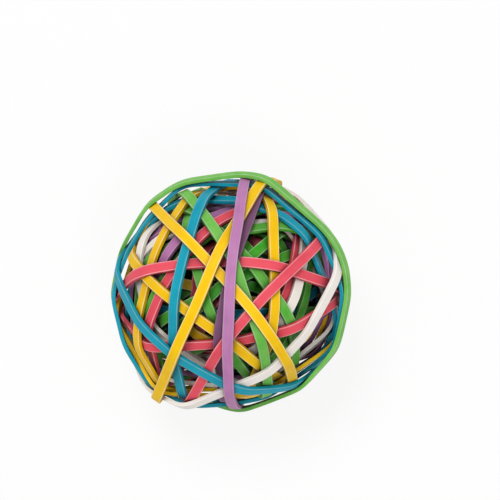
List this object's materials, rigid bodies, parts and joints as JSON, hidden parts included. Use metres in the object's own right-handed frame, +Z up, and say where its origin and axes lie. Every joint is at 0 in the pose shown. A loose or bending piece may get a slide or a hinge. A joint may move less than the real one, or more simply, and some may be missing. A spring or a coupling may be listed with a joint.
{
  "type": "rubber band ball",
  "caption": "Ball of stretched multicoloured rubber bands wound one over another, crossing at all angles, with flat ribbon-like bands on a tightly wound core",
  "frame": {"origin": "centre of the ball's box in X and Y, at its lowest point in Z", "axes": "Z is up; the picture looks straight down -Z, with +Y at the top of the picture and +X to its right"},
  "size_m": [0.0654, 0.0654, 0.0667],
  "materials": {
    "core_rubber": "satin-matte stretched natural rubber",
    "green_rubber": "satin-matte stretched natural rubber",
    "purple_rubber": "satin-matte stretched natural rubber",
    "red_rubber": "satin-matte stretched natural rubber",
    "teal_rubber": "satin-matte stretched natural rubber",
    "white_rubber": "satin-matte stretched natural rubber",
    "yellow_rubber": "satin-matte stretched natural rubber"
  },
  "bodies": {
    "root": {"band_01_teal": "teal_rubber", "band_02_green": "green_rubber", "band_03_green": "green_rubber", "band_04_green": "green_rubber", "band_05_green": "green_rubber", "band_06_white": "white_rubber", "band_07_red": "red_rubber", "band_08_purple": "purple_rubber", "band_09_yellow": "yellow_rubber", "band_10_red": "red_rubber", "band_11_white": "white_rubber", "band_12_green": "green_rubber", "band_13_green": "green_rubber", "band_14_purple": "purple_rubber", "band_15_purple": "purple_rubber", "band_16_purple": "purple_rubber", "band_17_white": "white_rubber", "band_18_green": "green_rubber", "band_19_white": "white_rubber", "band_20_green": "green_rubber", "band_21_green": "green_rubber", "band_22_red": "red_rubber", "band_23_teal": "teal_rubber", "band_24_red": "red_rubber", "band_25_yellow": "yellow_rubber", "band_26_yellow": "yellow_rubber", "band_27_yellow": "yellow_rubber", "band_28_yellow": "yellow_rubber", "band_29_red": "red_rubber", "band_30_purple": "purple_rubber", "band_31_green": "green_rubber", "band_32_teal": "teal_rubber", "band_33_red": "red_rubber", "band_34_teal": "teal_rubber", "band_35_white": "white_rubber", "band_36_yellow": "yellow_rubber", "band_37_teal": "teal_rubber", "band_38_yellow": "yellow_rubber", "band_39_purple": "purple_rubber", "band_40_green": "green_rubber", "core": "core_rubber"}
  },
  "joints": []
}
